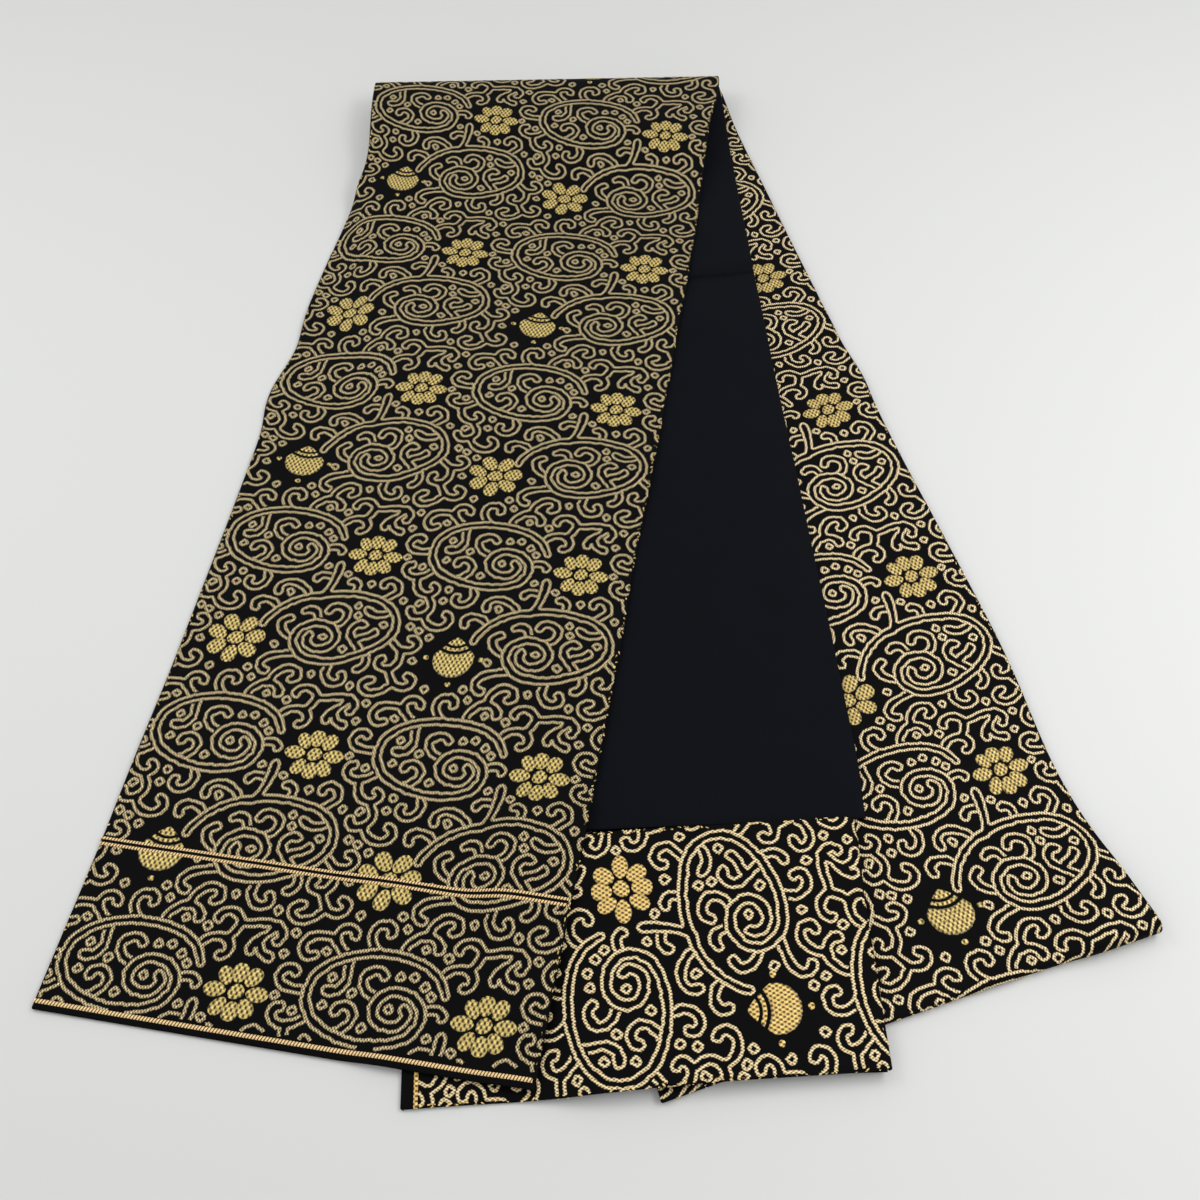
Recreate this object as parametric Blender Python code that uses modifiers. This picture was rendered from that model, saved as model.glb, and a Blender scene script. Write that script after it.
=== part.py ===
"""Obi sash: a brocade face cloth and a plain back cloth, sewn edge to edge, folded in a fan and laid flat.

The sash is one long double strip. From the table up it lies as the under stretch (face down), the side
stretch (face up), the inner stretch (back up), the hand end (doubled to half width, turned across)
and, over them all, the tare stretch (face up), whose top fold wraps round the fold inside it.
Each stretch that shows has its face and its back as two thin walls. Hidden layers share a solid.
Sizes are in millimetres until a mesh is made. X is to the right, Y away from the viewer, Z up.
"""

import math

import bmesh
import bpy
import numpy as np

MM = 0.001

# The cloth
OBI_WIDTH = 310.0
WALL = 1.0                  # thickness of the face cloth, and of the back cloth
GAP = 0.3                   # between any two pieces
STEP = WALL + GAP           # from one wall's underside to the next
DOUBLE = WALL + STEP        # a stretch, face and back
HAND_WIDTH = 159.0          # the hand end is doubled lengthwise
HAND_FILLING = 1.6          # its hidden layers

# Where the strip is folded or ends: the line's middle, and its turn from the X axis
LINE_COLUMNS = ("name", "x", "y", "turn_deg", "width")
LINE_ROWS = (
    ("tare_end", -191.8, -428.6, -10.9, OBI_WIDTH),
    ("top_fold", -34.3, 449.1, -0.7, OBI_WIDTH),
    ("bottom_fold", 194.8, -412.8, 17.6, OBI_WIDTH),
    ("inner_fold", -25.2, 430.4, 9.2, OBI_WIDTH),
    ("inner_end", 19.2, -293.2, 1.3, OBI_WIDTH),
    ("hand_fold", 163.2, -372.1, 92.0, HAND_WIDTH),
    ("hand_end", -118.8, -385.6, 91.0, HAND_WIDTH),
    ("hand_under_end", -23.8, -379.1, 91.0, HAND_WIDTH),
)

# How the cloth lies
TARE_BOW = 8.0              # the tare stretch bows this far to the right, midway
SIDE_BOW = -7.0             # the side and under stretches, to the left
TOP_RISE = 26.0             # the top fold is a springy loop: its inner side stands this far off the table
TOP_LOOP = (38.0, 132.0)    # the stretch is level this near the fold, and begins to rise this far from it
INNER_RISE = 6.0            # the inner fold is a smaller loop inside it
INNER_LOOP = (8.0, 80.0)
CORNER_LOFT = 3.0           # the bottom fold stands off at its free corner
CORNER_LENGTH = 90.0
HAND_INSET = 0.01           # the hand end's hidden layers stop short of both ends, by this share of a cell

# How finely it is divided
CELL_ACROSS = 21.0
CELL_ALONG = 36.0
COARSE = 2.0                # cells of a stretch that lies level are this much larger
SHEAR = 6.0                 # rows are slanted, so a cell reaches this much further
TURN_ROWS = 6
EDGE_ROUND = 0.25
EDGE_GROOVE = 1.5

# Colour (linear) and roughness of each finish
FINISHES = {
    "face_brocade": ((0.16, 0.12, 0.06), 0.55),
    "back_twill": ((0.012, 0.012, 0.017), 0.8),
}


class Line:
    """A fold line or an end line: its middle, the way along it, and the strip's width."""

    def __init__(self, name):
        row = dict(zip(LINE_COLUMNS, next(r for r in LINE_ROWS if r[0] == name)))
        turn = math.radians(row["turn_deg"])
        self.middle = np.array([row["x"], row["y"]])
        self.way = np.array([math.cos(turn), math.sin(turn)])
        self.width = row["width"]

    def half(self, run):
        """Half its length, where a strip that runs along run crosses it."""
        square = np.array([-run[1], run[0]])
        return self.width / 2 / abs(self.way @ square)


def run_between(start, end):
    """The unit vector from one line's middle to another's."""
    run = end.middle - start.middle
    return run / np.linalg.norm(run)


def plan_of(start, end, coarse=1.0, bow=0.0, start_inset=0.0, end_inset=0.0):
    """A stretch's points in plan, as rows from its start line to its end line."""
    run = run_between(start, end)
    length = np.linalg.norm(end.middle - start.middle)
    along = max(2, round(length / CELL_ALONG / coarse))
    across = max(2, round(start.width / CELL_ACROSS / coarse))
    sides = np.linspace(-1.0, 1.0, across + 1)[:, None]
    first = start.middle + run * start_inset + start.way * start.half(run) * sides
    last = end.middle - run * end_inset + end.way * end.half(run) * sides
    shares = np.linspace(0.0, 1.0, along + 1)
    rows = [first + (last - first) * t + (bow * 4 * t * (1 - t), 0.0) for t in shares]
    return np.array(rows)


def risen(plan, fold, loop):
    """How far a stretch has risen towards a springy fold, from 0 to 1."""
    level, reach = loop
    square = np.array([-fold.way[1], fold.way[0]])
    to_fold = np.abs((plan - fold.middle) @ square)
    share = np.clip((reach - to_fold) / (reach - level), 0.0, 1.0)
    return share * share * (3 - 2 * share)


def height_over(plan, tops):
    """Heights at which a cloth clears the layers below it, eased so that it falls softly.

    A point takes the height of the highest thing in the cells round it, so no facet cuts through."""
    run = plan[-1].mean(axis=0) - plan[0].mean(axis=0)
    run = run / np.linalg.norm(run)
    square = np.array([-run[1], run[0]])
    below = np.vstack(tops)
    height = np.zeros(plan.shape[:2])
    for index in np.ndindex(height.shape):
        away = below[:, :2] - plan[index]
        near = np.abs(away @ square) < CELL_ACROSS + SHEAR
        near &= np.abs(away @ run) < CELL_ALONG + SHEAR
        if near.any():
            height[index] = below[near, 2].max() + GAP
    framed = np.pad(height, 1, mode="edge")
    beside = (framed[1:-1, :-2] + framed[1:-1, 2:]) / 2
    before = (framed[:-2, 1:-1] + framed[2:, 1:-1]) / 2
    return np.maximum(height, (beside + before) / 2)


def top_points(plan, height):
    """A close set of points on a stretch's upper side, for the next stretch to lie on."""
    finer = 4
    points = np.dstack([plan, height])
    rows, columns = points.shape[:2]
    filled = []
    for share_r in np.arange(finer) / finer:
        for share_c in np.arange(finer) / finer:
            low = points[:-1, :-1] * (1 - share_c) + points[:-1, 1:] * share_c
            high = points[1:, :-1] * (1 - share_c) + points[1:, 1:] * share_c
            filled.append((low * (1 - share_r) + high * share_r).reshape(-1, 3))
    filled.append(points[-1])
    filled.append(points[:, -1])
    filled.append(points.reshape(rows * columns, 3))
    return np.vstack(filled)


def turned(rows, level):
    """The rows of a wall, carried round a fold past the last one to another level."""
    edge = rows[-1]
    way = edge[-1] - edge[0]
    out = np.array([-way[1], way[0]]) / math.hypot(way[0], way[1])
    if out @ (edge[0] - rows[-2][0])[:2] < 0:
        out = -out
    radius = (edge[:, 2] - level) / 2
    middle = (edge[:, 2] + level) / 2
    more = []
    for angle in np.linspace(0.0, math.pi, TURN_ROWS + 1)[1:]:
        row = edge.copy()
        row[:, :2] += np.outer(np.abs(radius) * math.sin(angle), out)
        row[:, 2] = middle + radius * math.cos(angle)
        more.append(row)
    return list(rows) + more


def material(finish):
    """A plain cloth material."""
    colour, roughness = FINISHES[finish]
    made = bpy.data.materials.get(finish) or bpy.data.materials.new(finish)
    made.use_nodes = True
    shader = made.node_tree.nodes["Principled BSDF"]
    shader.inputs["Base Color"].default_value = (*colour, 1.0)
    shader.inputs["Roughness"].default_value = roughness
    shader.inputs["Metallic"].default_value = 0.0
    return made


def place(name, mesh, finish):
    """Links a mesh as one of the sash's pieces."""
    mesh.materials.append(material(finish))
    made = bpy.data.objects.new(name, mesh)
    bpy.data.collections["obi_sash"].objects.link(made)
    return made


def wall(name, rows, finish):
    """A cloth wall. The rows of points are its inner side, and its thickness grows up from them."""
    points = np.array(rows) * MM
    count, across = points.shape[:2]
    faces = []
    for r in range(count - 1):
        for c in range(across - 1):
            a = r * across + c
            b = a + across
            faces.append((a, a + 1, b + 1))
            faces.append((a, b + 1, b))
    mesh = bpy.data.meshes.new(name)
    mesh.from_pydata(points.reshape(-1, 3).tolist(), [], faces)
    mesh.update()
    if mesh.polygons[0].normal.z < 0:
        mesh.flip_normals()
    made = place(name, mesh, finish)
    cloth = made.modifiers.new("cloth", "SOLIDIFY")
    cloth.thickness = WALL * MM
    cloth.offset = 1.0
    cloth.use_even_offset = True


def layered_section(places, thickness, layers):
    """A stack of cloth cut across, as (place, height) pairs round it: edges round, a groove between."""
    half = places[-1]
    each = thickness / layers
    edge = [(half - EDGE_ROUND, 0.0)]
    for layer in range(layers):
        edge.append((half, layer * each + EDGE_ROUND))
        edge.append((half, (layer + 1) * each - EDGE_ROUND))
        if layer < layers - 1:
            edge.append((half - EDGE_GROOVE, (layer + 1) * each))
    edge.append((half - EDGE_ROUND, thickness))
    underside = [(across, 0.0) for across in places[1:-1]]
    upper_side = [(across, thickness) for across in places[-2:0:-1]]
    far_edge = [(-across, height) for across, height in reversed(edge)]
    return underside + edge + upper_side + far_edge


def layered_solid(name, plan, height, thickness, layers, finish):
    """Hidden layers as one solid: the section of a stack, carried along rows of plan points."""
    work = bmesh.new()
    rings = []
    for row, levels in zip(plan, height):
        middle = (row[0] + row[-1]) / 2
        half = np.linalg.norm(row[-1] - row[0]) / 2
        way = (row[-1] - row[0]) / (2 * half)
        places = np.linspace(-half, half, len(row))
        section = layered_section(places, thickness, layers)
        ring = []
        for across, rise in section:
            spot = middle + way * across
            level = rise + np.interp(across, places, levels)
            ring.append(work.verts.new((spot[0] * MM, spot[1] * MM, level * MM)))
        rings.append(ring)
    for one, two in zip(rings, rings[1:]):
        for k in range(len(one)):
            on_top = section[k][1] == section[k - 1][1] == thickness
            a, b, c, d = one[k - 1], one[k], two[k], two[k - 1]
            if on_top:
                work.faces.new((a, b, d))
                work.faces.new((b, c, d))
            else:
                work.faces.new((a, b, c))
                work.faces.new((a, c, d))
    work.faces.new(rings[0])
    work.faces.new(rings[-1])
    bmesh.ops.recalc_face_normals(work, faces=work.faces)
    mesh = bpy.data.meshes.new(name)
    work.to_mesh(mesh)
    work.free()
    place(name, mesh, finish)


def lifted(plan, height, lift):
    """Plan points and heights as points in space."""
    return np.dstack([plan, height + lift])


def under_stretch():
    """Face down on the table from the top fold to the bottom fold, and hidden."""
    plan = plan_of(Line("top_fold"), Line("bottom_fold"), COARSE, SIDE_BOW, GAP, GAP)
    height = np.zeros(plan.shape[:2])
    layered_solid("under_layers", plan, height, DOUBLE, 2, "face_brocade")
    return top_points(plan, height + DOUBLE)


def side_stretch():
    """Face up on the under stretch, from the inner fold to the bottom fold, where it turns under."""
    fold = Line("bottom_fold")
    plan = plan_of(Line("inner_fold"), fold, COARSE, SIDE_BOW, GAP)
    height = np.full(plan.shape[:2], DOUBLE + GAP)
    square = np.array([-fold.way[1], fold.way[0]])
    for index in np.ndindex(height.shape):
        to_fold = abs((plan[index] - fold.middle) @ square)
        near_fold = max(0.0, 1.0 - to_fold / CORNER_LENGTH)
        near_corner = index[1] / (plan.shape[1] - 1)
        height[index] += CORNER_LOFT * near_fold * near_corner
    height += INNER_RISE * risen(plan, Line("inner_fold"), INNER_LOOP)
    wall("side_back", turned(lifted(plan, height, 0.0), DOUBLE), "back_twill")
    wall("side_face", turned(lifted(plan, height, STEP), WALL), "face_brocade")
    return top_points(plan, height + DOUBLE)


def inner_stretch(tops):
    """Back up, from its end under the hand end to the inner fold, where it turns to the side stretch."""
    plan = plan_of(Line("inner_end"), Line("inner_fold"))
    height = height_over(plan, tops)
    side_back_top = DOUBLE + GAP + INNER_RISE + WALL
    side_face_top = side_back_top + STEP
    wall("inner_face", turned(lifted(plan, height, 0.0), side_face_top), "face_brocade")
    wall("inner_back", turned(lifted(plan, height, STEP), side_back_top), "back_twill")
    return top_points(plan, height + DOUBLE)


def hand_end(tops):
    """Doubled and turned across: the face shows from the end at the left to the fold at the right.

    There it turns under, round the hidden layers, and lies below them."""
    fold = Line("hand_fold")
    under_plan = plan_of(fold, Line("hand_under_end"))
    under_height = height_over(under_plan, tops)
    under_tops = top_points(under_plan, under_height + WALL)
    plan = plan_of(Line("hand_end"), fold)
    height = height_over(plan, [*tops, under_tops])
    level = under_height[0] + WALL
    rows = turned(lifted(plan, height, HAND_FILLING + GAP), level)
    rows += list(lifted(under_plan, under_height, WALL))[1:]
    wall("hand_end_face", rows, "face_brocade")
    first = plan[0] + (plan[1] - plan[0]) * HAND_INSET
    last = plan[-1] + (plan[-2] - plan[-1]) * HAND_INSET
    inset = np.array([first, *plan[1:-1], last])
    layered_solid("hand_end_layers", inset, height, HAND_FILLING, 2, "back_twill")
    return top_points(plan, height + HAND_FILLING + STEP)


def tare_stretch(tops):
    """Face up over everything, from its end at the left to the top fold, where it turns under."""
    fold = Line("top_fold")
    plan = plan_of(Line("tare_end"), fold, bow=TARE_BOW)
    height = height_over(plan, tops)
    share = risen(plan, fold, TOP_LOOP)
    height = np.maximum(height, height * (1 - share) + TOP_RISE * share)
    wall("tare_back", turned(lifted(plan, height, 0.0), DOUBLE), "back_twill")
    wall("tare_face", turned(lifted(plan, height, STEP), WALL), "face_brocade")


def main():
    for old in list(bpy.data.objects):
        bpy.data.objects.remove(old)
    bpy.context.scene.collection.children.link(bpy.data.collections.new("obi_sash"))
    under_top = under_stretch()
    side_top = side_stretch()
    inner_top = inner_stretch([under_top, side_top])
    hand_top = hand_end([under_top, side_top, inner_top])
    tare_stretch([under_top, side_top, inner_top, hand_top])


main()
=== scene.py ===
"""Looks of an obi sash folded in a fan and laid flat: brocade face, plain twill back, gold weft.

Sizes are millimetres, on the table or on the strip, until a mesh is made. A place on the strip is
(across, along): across from its left edge, along from the line where the stretch starts. Each cloth
is a grid of points on its outer side, so whatever is woven on it is placed by (across, along).
"""

import math

import bpy
import numpy as np
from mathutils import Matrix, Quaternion


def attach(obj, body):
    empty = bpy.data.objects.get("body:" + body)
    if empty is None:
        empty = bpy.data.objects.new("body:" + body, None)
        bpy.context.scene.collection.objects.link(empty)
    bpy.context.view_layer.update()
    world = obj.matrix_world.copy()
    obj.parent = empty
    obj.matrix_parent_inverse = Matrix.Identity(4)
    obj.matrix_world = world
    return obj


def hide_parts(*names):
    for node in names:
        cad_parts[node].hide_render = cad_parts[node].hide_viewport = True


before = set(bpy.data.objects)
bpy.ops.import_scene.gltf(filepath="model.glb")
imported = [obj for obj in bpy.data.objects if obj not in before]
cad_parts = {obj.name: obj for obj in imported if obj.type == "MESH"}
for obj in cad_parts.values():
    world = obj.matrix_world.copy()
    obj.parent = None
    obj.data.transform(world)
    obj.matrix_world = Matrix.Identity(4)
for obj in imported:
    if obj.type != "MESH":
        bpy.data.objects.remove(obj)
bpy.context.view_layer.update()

MM = 0.001

# The cloth
OBI_WIDTH = 310.0
HAND_WIDTH = 159.0          # the hand end is doubled lengthwise
CLOTH = 0.75                # one cloth's thickness
DOUBLE = 2.3                # a stretch: face cloth and back cloth, with the air between them
HAND_DOUBLE = 2.1           # the hand end's doubled layers, as they lie pressed
HAND_CLOTH, HAND_FILLING = 0.9, 1.9     # thickness of its outer cloth, and of all that is inside
AIR = 0.2                   # between a stretch's back cloth, or the under stretch, and its neighbour
GAP = 0.3                   # between one stretch and the next
REST = 0.45                 # the underside's gold stands on the table, its ground this far up
CORNER_LOFT = 7.5           # the side stretch's near right corner stands a little off the table
TOP_RISE = 27.5             # the far folds are springy loops, one inside the other, and stand this
INNER_RISE = 6.0            # far off the table, or off what lies below
TOP_LOOP = (38.0, 132.0)    # it is level this near the fold, and begins to rise this far from it
INNER_LOOP = (8.0, 70.0)
CELL = 4.0                  # grid spacing
TURN_ROWS, ROLL_ROWS = 12, 3     # of the grid, round a fold and down a rolled edge
EDGES = {"near": (1.1, math.pi / 2), "far": (1.1, math.pi / 2)}         # rolled: radius, angle
THIN_EDGES = {"near": (1.0, math.pi / 2), "far": (1.0, math.pi / 2)}
FILLING_EDGES = {"near": (1.0, math.pi), "far": (1.0, math.pi / 2)}     # near is a lengthwise fold
HAND_EDGES = {"near": (1.05, math.pi), "far": (1.0, math.pi / 2)}

# The long low waves that all cloth lies in, about this far off what is under it
STANDS_OFF = 0.75
WAVE_COLUMNS = ("height", "along", "across", "phase")
WAVE_ROWS = ((0.4, 34, 75, 1), (0.3, 21, -43, 2))

# Where the strip is folded or ends: the line's middle, and its turn from the X axis
LINE_COLUMNS = ("name", "x", "y", "turn_deg", "width")
LINE_ROWS = (
    ("tare_end", -191.8, -428.6, -10.9, OBI_WIDTH),
    ("top_fold", -34.3, 449.1, -0.7, OBI_WIDTH),
    ("bottom_fold", 194.8, -412.8, 17.6, OBI_WIDTH),
    ("inner_fold", -25.2, 430.4, 9.2, OBI_WIDTH),
    ("inner_end", 19.2, -293.2, 1.3, OBI_WIDTH),
    ("hand_fold", 163.2, -372.1, 92.0, HAND_WIDTH),
    ("hand_end", -118.8, -385.6, 91.0, HAND_WIDTH),
    ("hand_under_end", -23.8, -379.1, 91.0, HAND_WIDTH),
)

# The stretches between them, each from its start line along the strip towards the hand end.
# first is the left or near edge's place across the strip, and scale its cloth's size over the weave's.
STRETCH_COLUMNS = ("name", "start", "end", "bow", "first", "scale")
STRETCH_ROWS = (
    ("under", "top_fold", "bottom_fold", -7.0, 0.0, 1.0),
    ("side", "bottom_fold", "inner_fold", -7.0, 0.0, 1.0),
    ("inner", "inner_fold", "inner_end", 0.0, 0.0, 1.0),
    ("hand_under", "hand_fold", "hand_under_end", 0.0, 156.9, 1.052),
    ("hand", "hand_fold", "hand_end", 0.0, 156.9, 1.052),
    ("tare", "tare_end", "top_fold", 8.0, 0.0, 1.0),
)

# Where an edge lies in or out of its straight line: how far along, over what reach, and by how much
# outwards. side is 0 for the left or near edge.
PULL_COLUMNS = ("stretch", "side", "along", "reach", "out")
PULL_ROWS = (
    ("tare", 0, 765, 100, -10.5),
    ("tare", 0, 775, 45, -3.5),
    ("tare", 0, 505, 30, 5.5),
    ("tare", 0, 560, 24, -3.0),
    ("tare", 1, 400, 420, -4.0),
    ("tare", 1, 700, 60, 1.2),
    ("tare", 1, 380, 45, -1.4),
    ("tare", 1, 160, 50, 1.0),
    ("tare", 1, 905, 34, 4.0),
    ("side", 1, 105, 85, -10.0),
    ("side", 1, 0, 22, 2.0),
    ("side", 0, -8, 60, 14.0),
    ("side", 1, 487, 26, 2.5),
    ("inner", 1, 250, 300, -3.2),
    ("inner", 1, 728, 24, -2.5),
    ("under", 1, 790, 120, -16.0),
    ("hand", 0, 165, 40, 1.6),
    ("hand", 1, 130, 35, 0.9),
)

# Creases pressed in while the sash was put away: each runs from one place to another on its stretch,
# and is soft, a low ridge or a trough. They fade out at their ends.
CREASE_COLUMNS = ("stretch", "from_across", "from_along", "to_across", "to_along", "width", "rise")
CREASE_ROWS = (
    ("tare", -20, 489, 330, 452, 9, 1.3),
    ("tare", -20, 470, 330, 436, 12, -0.8),
    ("tare", 20, 640, 250, 820, 30, 0.9),
    ("tare", 120, 600, 300, 760, 26, -0.7),
    ("tare", -10, 300, 180, 210, 34, 0.8),
    ("tare", 130, 330, 320, 260, 22, 0.7),
    ("tare", 60, 60, 300, 130, 28, 0.7),
    ("tare", -20, 130, 120, 60, 16, -0.5),
    ("tare", 0, 880, 310, 850, 14, 0.8),
    ("side", 330, 545, 170, 585, 11, 1.6),
    ("side", 330, 525, 200, 560, 12, -0.9),
    ("side", 320, 320, 180, 400, 26, 0.8),
    ("side", 320, 90, 190, 190, 20, 1.0),
    ("side", 250, -20, 320, 70, 16, 2.2),
    ("side", 150, 700, 310, 640, 20, 0.8),
    ("side", 140, 60, 260, 20, 12, 0.8),
    ("inner", -60, 240, 370, 221, 4, -2.2),
    ("inner", -60, 228, 370, 209, 9, 0.8),
    ("inner", 160, 582, 310, 502, 22, 0.9),
    ("inner", 120, 402, 300, 362, 26, -0.6),
    ("inner", 150, 672, 310, 682, 12, 0.8),
    ("hand", 150, 40, 320, 75, 16, 0.7),
    ("hand", 150, 170, 320, 150, 18, 0.6),
    ("under", 40, 300, 280, 380, 26, 0.7),
    ("under", 20, 600, 300, 560, 20, 0.6),
)
CREASE_SWAY, CREASE_FADE = 3.0, 40.0    # how far a crease wanders, and the length it fades over

# How far the figures stand off an even repeat. These rows began as a program's measure of where the
# figures are, and some were then changed one by one.
DRIFT_COLUMNS = ("stretch", "woven_along", "off")
DRIFT_ROWS = (
    ("tare", 300, 0.0), ("tare", 443, -1.5), ("tare", 526, -6.0), ("tare", 608, -8.0),
    ("tare", 691, -14.0), ("tare", 774, -20.0), ("tare", 857, -22.5),
    ("side", 50, -1.5), ("side", 132, 0.0), ("side", 215, -5.5), ("side", 298, -4.5), ("side", 463, -3.0),
    ("side", 629, -14.5), ("side", 800, -20.0),
)

# The weave's repeat. A flower stands at each corner of a cell, and a flower or a jewel in its middle.
REPEAT_ACROSS = 155.3
REPEAT_ALONG = 165.4
SQUEEZE = 0.86              # the scrolls are drawn round, then woven flatter by this much
WOBBLE = 0.6                # how unsteady the woven lines are
FIELD_STEP = 0.5            # spacing of the grid they are drawn on
VINE_HALF = 2.2             # from a vine's middle to the middle of the gold line along each side
TIP_HALF = 2.8
KNOT_HALF = 3.1             # a knot is a small diamond of gold line, this far from middle to corner
ROOM = 10.3                 # least distance between the middles of two curls
VINE_ROOM = 0.3             # and this much more from a main vine
FREE_LENGTH = 13.6          # a curl may be nearer than that to the one it grows from, for this length
KNOT_ROOM = 7.7             # a knot needs this much room, and has curls about it no further off
KNOT_REACH = 9.2
CROWDED, CROWDED_COST = 12.0, 6.0       # a curl that starts this near another one is less welcome
FAR = 60.0                  # further than anything on the grid matters
VINE_STEP, CURL_STEP = 0.7, 0.9
VINE_SHOOTS, CURL_SHOOTS = (0.04, 0.93), (0.25, 0.65)     # the shares of them that others grow from
MOST_TURN = 330.0           # degrees that a curl may turn
CURLS_CLEAR = 0.4           # curls' lines are drawn only this far outside the main vines
TARE_LINE_HALF = 1.45       # half a gold line's width, with its ragged rim: wider in loose weft
LINE_HALF = 1.28
LINE_STEP = 0.6             # the lines are eased at this spacing, then kept only where they need it
SHORTEST_LINE = 7.0
LONG_SPAN, SHORT_SPAN, SPAN_TURN = 2.2, 1.1, 0.3        # a longer span is cut, or one that turns more
SINK = 0.05                 # gold starts this far inside the ground
SCROLL_RISE, MOTIF_RISE = 0.38, 0.42
WIDE_PATCH = 9.0            # a wider patch has more points across, so that it follows the cloth
WIDE_SHARES = (0.0, 0.1, 0.23, 0.36, 0.5, 0.64, 0.77, 0.9, 1.0)
NARROW_SHARES = (0.0, 0.14, 0.5, 0.86, 1.0)

# The main vines, in one cell: where each starts and sets off to, then spans that bend evenly from
# one rate to another (degrees a millimetre, left is positive). Two are rings that wind inwards.
VINE_COLUMNS = ("across", "along", "heading", "spans")
VINE_ROWS = (
    (-66, 97, 76, ((45, -1.25, -1.1), (52, -0.8, -0.9), (52, -2.1, -2.2), (52, -0.8, -1.2),
                   (46, -2.7, -3.4), (44, -3.6, -5.0), (23, -5.0, -8.0))),
    (128, 180, 105, ((28, 1.9, 1.9), (55, 0.9, 1.0), (60, 2.0, 2.0), (48, 0.9, 1.2),
                     (44, 2.8, 3.4), (42, 3.8, 5.0), (23, 5.0, 8.0))),
    (-31, 126, 58, ((35, 1.6, 0.2),)),
)
SCROLL_SEED, WOBBLE_SEED, STITCH_SEED = 11, 2, 5
CURL_LENGTHS = (38.0, 33.0, 28.0, 24.0, 20.5, 17.5, 15.0)
# The room that a cell's two figures keep: across, along, radius
MOTIF_ROOM = ((0.0, 0.0, 26.0), (REPEAT_ACROSS / 2 - 2.0, REPEAT_ALONG / 2, 27.5))


def rows_of(columns, rows):
    """Table rows as dictionaries."""
    return [dict(zip(columns, row)) for row in rows]


def rows_for(name, columns, rows):
    """The rows whose first column holds this name."""
    return rows_of(columns, [row for row in rows if row[0] == name])


def smooth(share):
    """A share from 0 to 1, eased at both ends."""
    return share * share * (3 - 2 * share)


# ---------------------------------------------------------------- the strip on the table


class Line:
    """A fold line or an end line: its middle, the way along it, and the strip's width."""

    def __init__(self, name):
        row, = rows_for(name, LINE_COLUMNS, LINE_ROWS)
        turn = math.radians(row["turn_deg"])
        self.middle = np.array([row["x"], row["y"]])
        self.way = np.array([math.cos(turn), math.sin(turn)])
        self.width = row["width"]

    def points(self, run, sides):
        """Points along it, from -1 to 1, where a strip that runs along run crosses it."""
        square = np.array([-run[1], run[0]])
        half = self.width / 2 / abs(self.way @ square)
        return self.middle + self.way * half * sides[:, None]


class Stretch:
    """A length of the strip: its points in plan, and their places on the strip."""

    def __init__(self, name):
        row, = rows_for(name, STRETCH_COLUMNS, STRETCH_ROWS)
        start, end = Line(row["start"]), Line(row["end"])
        way = end.middle - start.middle
        length = np.linalg.norm(way)
        self.run = way / length
        sides = np.linspace(-1.0, 1.0, round(start.width / CELL) + 1)
        first = start.points(self.run, sides)
        last = end.points(self.run, sides)
        share = np.linspace(0.0, 1.0, round(length / CELL) + 1)[:, None, None]
        self.plan = first + (last - first) * share
        self.plan[..., :1] += row["bow"] * 4 * share * (1 - share)
        self.name = name
        self.scale = row["scale"]
        self.across = row["first"] + (sides + 1) / 2 * start.width / self.scale
        self.begins = (first - start.middle) @ self.run / self.scale
        self.ends = (length + (last - end.middle) @ self.run) / self.scale
        self.along = self.begins + (self.ends - self.begins) * share[..., 0]
        self.pull_edges()
        drift = rows_for(name, DRIFT_COLUMNS, DRIFT_ROWS)
        self.drift = np.array([(row["woven_along"], row["off"]) for row in drift] or [(0.0, 0.0)])

    def pull_edges(self):
        """Moves the edges in or out of line, and the cloth beside them by less and less."""
        width = self.plan[:, -1] - self.plan[:, 0]
        square = (width / np.linalg.norm(width, axis=1)[:, None])[:, None]
        share = np.linspace(0.0, 1.0, len(self.across))
        for pull in rows_for(self.name, PULL_COLUMNS, PULL_ROWS):
            weight = (share if pull["side"] else 1 - share) ** 2
            way = 1 if pull["side"] else -1
            amount = pull["out"] * way * np.exp(-((self.along - pull["along"]) / pull["reach"]) ** 2)
            self.plan += (amount * weight)[..., None] * square

    def lie(self):
        """How far the cloth stands off whatever is under it: long low waves, and the creases."""
        across = np.broadcast_to(self.across, self.along.shape)
        seed = 0.7 * len(self.name)
        rise = np.full(across.shape, STANDS_OFF)
        for wave in rows_of(WAVE_COLUMNS, WAVE_ROWS):
            angle = self.along / wave["along"] + across / wave["across"] + wave["phase"] * seed
            rise += wave["height"] * np.sin(angle)
        for crease in rows_for(self.name, CREASE_COLUMNS, CREASE_ROWS):
            start = np.array([crease["from_across"], crease["from_along"]])
            way = np.array([crease["to_across"], crease["to_along"]]) - start
            length = np.hypot(*way)
            way = way / length
            x, y = across - start[0], self.along - start[1]
            run = x * way[0] + y * way[1]
            off = x * way[1] - y * way[0] + CREASE_SWAY * np.sin(run / 23)
            ends = smooth(np.clip(np.minimum(run, length - run) / CREASE_FADE, 0.0, 1.0))
            rise += crease["rise"] * ends * np.exp(-(off / crease["width"]) ** 2)
        return np.maximum(rise, 0.0)

    def loft(self, line, loop):
        """How far the cloth has risen towards a springy fold, from 0 to 1."""
        level, reach = loop
        to_fold = np.abs((self.plan - Line(line).middle) @ self.run)
        return smooth(np.clip((reach - to_fold) / (reach - level), 0.0, 1.0))


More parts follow.
